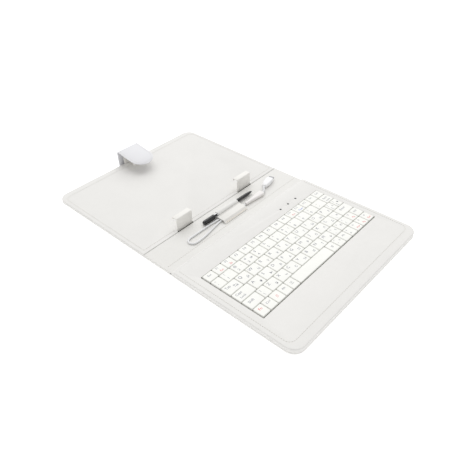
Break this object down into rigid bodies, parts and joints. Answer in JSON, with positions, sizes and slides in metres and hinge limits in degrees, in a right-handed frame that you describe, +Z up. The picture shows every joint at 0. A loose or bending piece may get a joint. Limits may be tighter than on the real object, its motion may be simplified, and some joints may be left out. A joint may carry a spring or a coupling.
{
  "type": "tablet keyboard case",
  "caption": "Folding leather-covered case that holds a tablet on one half and a built-in keyboard with a short cable on the other, with a stylus held on its spine.",
  "frame": {"origin": "on the surface the case lies on, at the middle of the case's width, 3.2 mm behind the fold between the spine and the tablet half", "axes": "+X runs along the key rows to the right, +Y from the keyboard's front edge towards the tablet half, +Z up out of the open case"},
  "size_m": [0.265, 0.4324, 0.0266],
  "materials": {
    "pale_leather": "fine-grain off-white synthetic leather, satin",
    "flap_leather": "cream synthetic leather, satin, brown stitched edge",
    "lining_leather": "smooth pale synthetic leather lining",
    "grey_board": "pressed fibre board and foam, matt",
    "key_plastic": "warm white keycap plastic with pad-printed legends",
    "bezel_plastic": "olive grey moulded plastic, matt",
    "clip_plastic": "beige coated clip, satin",
    "black_plastic": "black moulded plastic, semi-gloss",
    "white_plastic": "white moulded plastic, semi-gloss",
    "cable_jacket": "soft white cable jacket",
    "dark_lens": "smoked light lens, unlit",
    "spring_steel": "plain sheet steel",
    "membrane_film": "printed contact film",
    "dome_silicone": "silicone dome sheet",
    "circuit_green": "green solder mask",
    "elastic_black": "woven elastic"
  },
  "bodies": {
    "keyboard_half": {"keyboard_backplate": "spring_steel", "keyboard_board": "grey_board", "keyboard_foam_frame": "grey_board", "keyboard_inner_skin": "pale_leather", "keyboard_outer_skin": "pale_leather", "strap_catch_plate": "spring_steel", "key_bezel": "bezel_plastic", "membrane_sheet": "membrane_film", "dome_sheet": "dome_silicone", "controller_board": "circuit_green", "light_num_lock": "dark_lens", "light_caps_lock": "dark_lens", "light_power": "dark_lens"},
    "spine": {"spine_outer_skin": "pale_leather", "spine_board": "grey_board", "spine_inner_skin": "pale_leather", "stylus_loop": "pale_leather", "cable_flap": "flap_leather", "cable_eyelet": "white_plastic", "usb_cable": "cable_jacket", "usb_adapter": "white_plastic", "plug_strain_relief": "cable_jacket", "plug_body": "white_plastic", "plug_shell": "spring_steel"},
    "stylus": {"stylus_barrel": "white_plastic", "stylus_cap": "black_plastic", "stylus_tip": "black_plastic"},
    "tablet_half": {"cover_outer_skin": "pale_leather", "cover_inner_skin": "pale_leather", "cover_board": "grey_board", "tray_board": "grey_board", "tray_skin": "pale_leather", "clip_elastic_left": "elastic_black", "clip_elastic_right": "elastic_black"},
    "clip_left": {"clip_left": "clip_plastic"},
    "clip_right": {"clip_right": "clip_plastic"},
    "clip_top": {"clip_top": "clip_plastic"},
    "strap": {"strap_outer": "pale_leather", "strap_lining": "lining_leather", "strap_magnet": "spring_steel"},
    "key_arrow_down": {"key_arrow_down": "key_plastic"},
    "key_arrow_left": {"key_arrow_left": "key_plastic"},
    "key_arrow_right": {"key_arrow_right": "key_plastic"},
    "key_arrow_up": {"key_arrow_up": "key_plastic"},
    "key_backspace": {"key_backspace": "key_plastic"},
    "key_caps_lock": {"key_caps_lock": "key_plastic"},
    "key_enter": {"key_enter": "key_plastic"},
    "key_escape": {"key_escape": "key_plastic"},
    "key_function": {"key_function": "key_plastic"},
    "key_shift_left": {"key_shift_left": "key_plastic"},
    "key_shift_right": {"key_shift_right": "key_plastic"},
    "key_space": {"key_space": "key_plastic"},
    "key_tab": {"key_tab": "key_plastic"},
    "keys_function_row_1": {"keys_function_row_1": "key_plastic"},
    "keys_home_row_1": {"keys_home_row_1": "key_plastic"},
    "keys_lower_row_1": {"keys_lower_row_1": "key_plastic"},
    "keys_number_row_1": {"keys_number_row_1": "key_plastic"},
    "keys_space_row_1": {"keys_space_row_1": "key_plastic"},
    "keys_space_row_2": {"keys_space_row_2": "key_plastic"},
    "keys_upper_row_1": {"keys_upper_row_1": "key_plastic"}
  },
  "joints": [
    {"name": "spine_fold", "type": "hinge", "parent": "keyboard_half", "child": "spine", "pos_m": [0, -0.04, 0.0005], "axis": [1, 0, 0], "range_deg": [0, 90]},
    {"name": "cover_fold", "type": "hinge", "parent": "spine", "child": "tablet_half", "pos_m": [0, -0.0032, 0.0048], "axis": [1, 0, 0], "range_deg": [0, 90]},
    {"name": "strap_open", "type": "hinge", "parent": "tablet_half", "child": "strap", "pos_m": [0.003, 0.1974, 0.0002], "axis": [1, 0, 0], "range_deg": [-75, 0]},
    {"name": "clip_left_slide", "type": "slide", "parent": "tablet_half", "child": "clip_left", "axis": [0, 1, 0], "range_m": [-0.0015, 0], "stiffness_N_per_m": 120},
    {"name": "clip_right_slide", "type": "slide", "parent": "tablet_half", "child": "clip_right", "axis": [0, 1, 0], "range_m": [-0.0015, 0], "stiffness_N_per_m": 120},
    {"name": "clip_top_slide", "type": "slide", "parent": "tablet_half", "child": "clip_top", "axis": [0, 1, 0], "range_m": [0, 0.003]},
    {"name": "stylus_slide", "type": "slide", "parent": "spine", "child": "stylus", "axis": [1, 0, 0], "range_m": [-0.06, 0]},
    {"name": "key_arrow_down_press", "type": "slide", "parent": "keyboard_half", "child": "key_arrow_down", "axis": [0, 0, 1], "range_m": [-0.0014, 0], "stiffness_N_per_m": 350},
    {"name": "key_arrow_left_press", "type": "slide", "parent": "keyboard_half", "child": "key_arrow_left", "axis": [0, 0, 1], "range_m": [-0.0014, 0], "stiffness_N_per_m": 350},
    {"name": "key_arrow_right_press", "type": "slide", "parent": "keyboard_half", "child": "key_arrow_right", "axis": [0, 0, 1], "range_m": [-0.0014, 0], "stiffness_N_per_m": 350},
    {"name": "key_arrow_up_press", "type": "slide", "parent": "keyboard_half", "child": "key_arrow_up", "axis": [0, 0, 1], "range_m": [-0.0014, 0], "stiffness_N_per_m": 350},
    {"name": "key_backspace_press", "type": "slide", "parent": "keyboard_half", "child": "key_backspace", "axis": [0, 0, 1], "range_m": [-0.0014, 0], "stiffness_N_per_m": 350},
    {"name": "key_caps_lock_press", "type": "slide", "parent": "keyboard_half", "child": "key_caps_lock", "axis": [0, 0, 1], "range_m": [-0.0014, 0], "stiffness_N_per_m": 350},
    {"name": "key_enter_press", "type": "slide", "parent": "keyboard_half", "child": "key_enter", "axis": [0, 0, 1], "range_m": [-0.0014, 0], "stiffness_N_per_m": 350},
    {"name": "key_escape_press", "type": "slide", "parent": "keyboard_half", "child": "key_escape", "axis": [0, 0, 1], "range_m": [-0.0014, 0], "stiffness_N_per_m": 350},
    {"name": "key_function_press", "type": "slide", "parent": "keyboard_half", "child": "key_function", "axis": [0, 0, 1], "range_m": [-0.0014, 0], "stiffness_N_per_m": 350},
    {"name": "key_shift_left_press", "type": "slide", "parent": "keyboard_half", "child": "key_shift_left", "axis": [0, 0, 1], "range_m": [-0.0014, 0], "stiffness_N_per_m": 350},
    {"name": "key_shift_right_press", "type": "slide", "parent": "keyboard_half", "child": "key_shift_right", "axis": [0, 0, 1], "range_m": [-0.0014, 0], "stiffness_N_per_m": 350},
    {"name": "key_space_press", "type": "slide", "parent": "keyboard_half", "child": "key_space", "axis": [0, 0, 1], "range_m": [-0.0014, 0], "stiffness_N_per_m": 350},
    {"name": "key_tab_press", "type": "slide", "parent": "keyboard_half", "child": "key_tab", "axis": [0, 0, 1], "range_m": [-0.0014, 0], "stiffness_N_per_m": 350},
    {"name": "keys_function_row_1_press", "type": "slide", "parent": "keyboard_half", "child": "keys_function_row_1", "axis": [0, 0, 1], "range_m": [-0.0014, 0], "stiffness_N_per_m": 1500},
    {"name": "keys_home_row_1_press", "type": "slide", "parent": "keyboard_half", "child": "keys_home_row_1", "axis": [0, 0, 1], "range_m": [-0.0014, 0], "stiffness_N_per_m": 1500},
    {"name": "keys_lower_row_1_press", "type": "slide", "parent": "keyboard_half", "child": "keys_lower_row_1", "axis": [0, 0, 1], "range_m": [-0.0014, 0], "stiffness_N_per_m": 1500},
    {"name": "keys_number_row_1_press", "type": "slide", "parent": "keyboard_half", "child": "keys_number_row_1", "axis": [0, 0, 1], "range_m": [-0.0014, 0], "stiffness_N_per_m": 1500},
    {"name": "keys_space_row_1_press", "type": "slide", "parent": "keyboard_half", "child": "keys_space_row_1", "axis": [0, 0, 1], "range_m": [-0.0014, 0], "stiffness_N_per_m": 1500},
    {"name": "keys_space_row_2_press", "type": "slide", "parent": "keyboard_half", "child": "keys_space_row_2", "axis": [0, 0, 1], "range_m": [-0.0014, 0], "stiffness_N_per_m": 1500},
    {"name": "keys_upper_row_1_press", "type": "slide", "parent": "keyboard_half", "child": "keys_upper_row_1", "axis": [0, 0, 1], "range_m": [-0.0014, 0], "stiffness_N_per_m": 1500}
  ]
}
